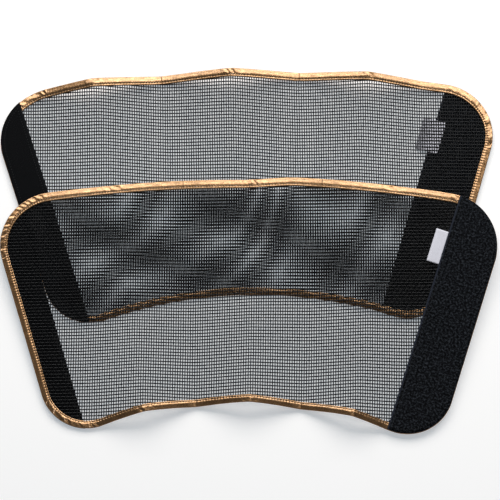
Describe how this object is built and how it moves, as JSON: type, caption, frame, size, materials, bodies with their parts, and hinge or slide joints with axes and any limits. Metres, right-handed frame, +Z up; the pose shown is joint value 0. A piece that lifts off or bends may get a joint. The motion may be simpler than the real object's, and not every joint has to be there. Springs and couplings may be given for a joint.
{
  "type": "mesh wrap screen pair",
  "caption": "Left and right pair of fan-shaped black mesh wrap screens with bronze tape binding, hook and loop end patches and a bare size label, laid one over the other.",
  "frame": {"origin": "middle of the pair's outline in plan, on the surface it lies on", "axes": "+X to the screens' loop patch ends, +Y towards their long curved edges, +Z up off the surface"},
  "size_m": [0.4708, 0.3572, 0.0182],
  "materials": {
    "mesh": "black coated open mesh, satin",
    "binding": "crinkled metallic bronze coated tape",
    "loop_pile": "black brushed loop pile",
    "hook_tape": "black moulded hook tape",
    "label": "white woven satin, bare",
    "thread": "twisted bronze-brown sewing thread"
  },
  "bodies": {
    "top_section_1": {"top_mesh_1": "mesh", "top_binding_1": "binding", "top_hook_patch": "hook_tape"},
    "top_section_2": {"top_mesh_2": "mesh", "top_binding_2": "binding"},
    "top_section_3": {"top_mesh_3": "mesh", "top_binding_3": "binding"},
    "top_section_4": {"top_mesh_4": "mesh", "top_binding_4": "binding", "top_loop_patch": "loop_pile", "top_label": "label"},
    "under_section_1": {"under_mesh_1": "mesh", "under_binding_1": "binding", "under_hook_patch": "hook_tape"},
    "under_section_2": {"under_mesh_2": "mesh", "under_binding_2": "binding"},
    "under_section_3": {"under_mesh_3": "mesh", "under_binding_3": "binding"},
    "under_section_4": {"under_mesh_4": "mesh", "under_binding_4": "binding", "under_loop_patch": "loop_pile", "under_label": "label"}
  },
  "joints": [
    {"name": "top_lift", "type": "slide", "parent": "under_section_2", "child": "top_section_2", "axis": [0, 0, 1], "range_m": [0, 0.15]},
    {"name": "top_left_fold", "type": "hinge", "parent": "top_section_2", "child": "top_section_1", "pos_m": [-0.11152, -0.0491, 0.01567], "axis": [-0.1389, 0.9901, -0.0202], "range_deg": [0, 85]},
    {"name": "top_middle_fold", "type": "hinge", "parent": "top_section_2", "child": "top_section_3", "pos_m": [0.00296, -0.04148, 0.01603], "axis": [-0.0157, -0.9997, 0.0198], "range_deg": [0, 85]},
    {"name": "top_right_fold", "type": "hinge", "parent": "top_section_3", "child": "top_section_4", "pos_m": [0.11714, -0.05274, 0.01564], "axis": [-0.1699, -0.9853, 0.0203], "range_deg": [0, 85]},
    {"name": "under_left_fold", "type": "hinge", "parent": "under_section_2", "child": "under_section_1", "pos_m": [-0.12718, 0.0536, 0.00727], "axis": [0.1853, -0.9807, -0.0627], "range_deg": [0, 85]},
    {"name": "under_middle_fold", "type": "hinge", "parent": "under_section_2", "child": "under_section_3", "pos_m": [-0.01322, 0.06675, 0.007], "axis": [-0.0313, 0.9975, 0.0627], "range_deg": [0, 85]},
    {"name": "under_right_fold", "type": "hinge", "parent": "under_section_3", "child": "under_section_4", "pos_m": [0.10138, 0.06102, 0.00717], "axis": [0.1234, 0.9904, 0.0627], "range_deg": [0, 85]}
  ]
}
